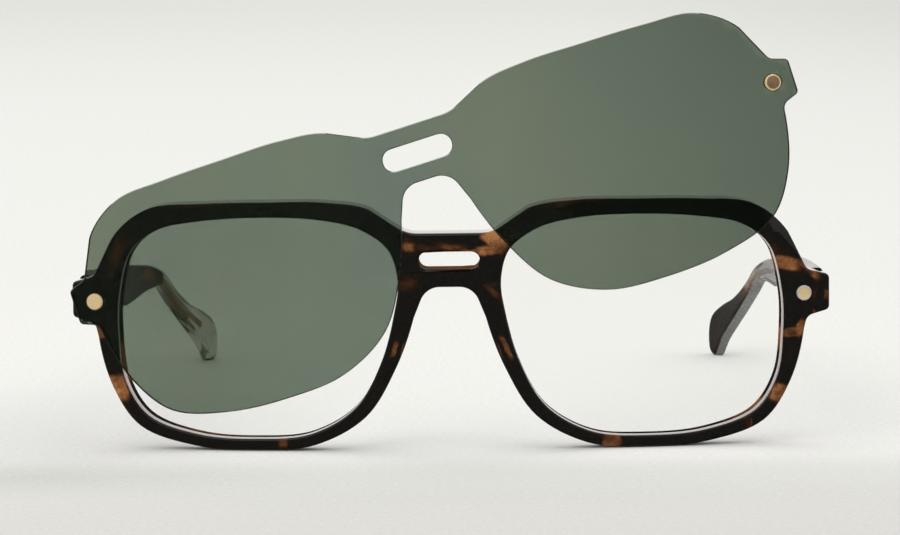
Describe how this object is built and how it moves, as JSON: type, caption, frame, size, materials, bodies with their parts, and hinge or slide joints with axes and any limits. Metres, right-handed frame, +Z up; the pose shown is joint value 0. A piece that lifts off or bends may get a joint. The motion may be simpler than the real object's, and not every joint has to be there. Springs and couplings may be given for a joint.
{
  "type": "eyeglasses with magnetic clip-on",
  "caption": "Thick square acetate eyeglasses with clear lenses, folding temples and a one-piece tinted clip-on lens held by magnets in the endpieces, swung up on one magnet.",
  "frame": {"origin": "middle of the bounding box's bottom, on the plane that the rims and temple tips stand on", "axes": "X across the front, Y from the front back to the temple tips, Z up; the top of the front leans forward 2 degrees"},
  "size_m": [0.1488, 0.1398, 0.0851],
  "materials": {
    "tortoise_acetate": "polished dark tortoiseshell acetate with amber patches, clear grey at the temple tips",
    "clear_demo_lens": "clear polished plano lens",
    "green_sun_lens": "polished grey-green tinted lens",
    "pale_gold": "satin pale gold plating",
    "hinge_steel": "satin stainless steel",
    "sintered_magnet": "matt sintered magnet with a brown coat"
  },
  "bodies": {
    "front": {"frame_front": "tortoise_acetate", "left_nose_pad": "tortoise_acetate", "right_nose_pad": "tortoise_acetate", "left_demo_lens": "clear_demo_lens", "right_demo_lens": "clear_demo_lens", "left_front_hinge_leaf": "hinge_steel", "right_front_hinge_leaf": "hinge_steel", "left_hinge_screw": "hinge_steel", "right_hinge_screw": "hinge_steel", "left_frame_magnet_cap": "pale_gold", "right_frame_magnet_cap": "pale_gold", "left_frame_magnet": "sintered_magnet", "right_frame_magnet": "sintered_magnet"},
    "left_temple_body": {"left_temple": "tortoise_acetate", "left_temple_hinge_leaf": "hinge_steel", "left_core_wire": "hinge_steel"},
    "right_temple_body": {"right_temple": "tortoise_acetate", "right_temple_hinge_leaf": "hinge_steel", "right_core_wire": "hinge_steel"},
    "clip_hold": {"left_clip_magnet": "sintered_magnet"},
    "clip": {"clip_lens": "green_sun_lens", "left_clip_bezel": "pale_gold", "right_clip_bezel": "pale_gold", "right_clip_magnet": "sintered_magnet"}
  },
  "joints": [
    {"name": "left_temple_fold", "type": "hinge", "parent": "front", "child": "left_temple_body", "pos_m": [-0.06786, -0.05391, 0.02986], "axis": [0, 0.0349, -0.9994], "range_deg": [0, 84]},
    {"name": "right_temple_fold", "type": "hinge", "parent": "front", "child": "right_temple_body", "pos_m": [0.0681, -0.05391, 0.02986], "axis": [0, -0.0349, 0.9994], "range_deg": [0, 76]},
    {"name": "clip_pull_off", "type": "slide", "parent": "front", "child": "clip_hold", "axis": [-0.2055, -0.9781, -0.0342], "range_m": [0, 0.03]},
    {"name": "clip_swing", "type": "hinge", "parent": "clip_hold", "child": "clip", "pos_m": [-0.06918, -0.06017, 0.02964], "axis": [-0.2055, -0.9781, -0.0342], "range_deg": [-17.75, 72.25]}
  ]
}
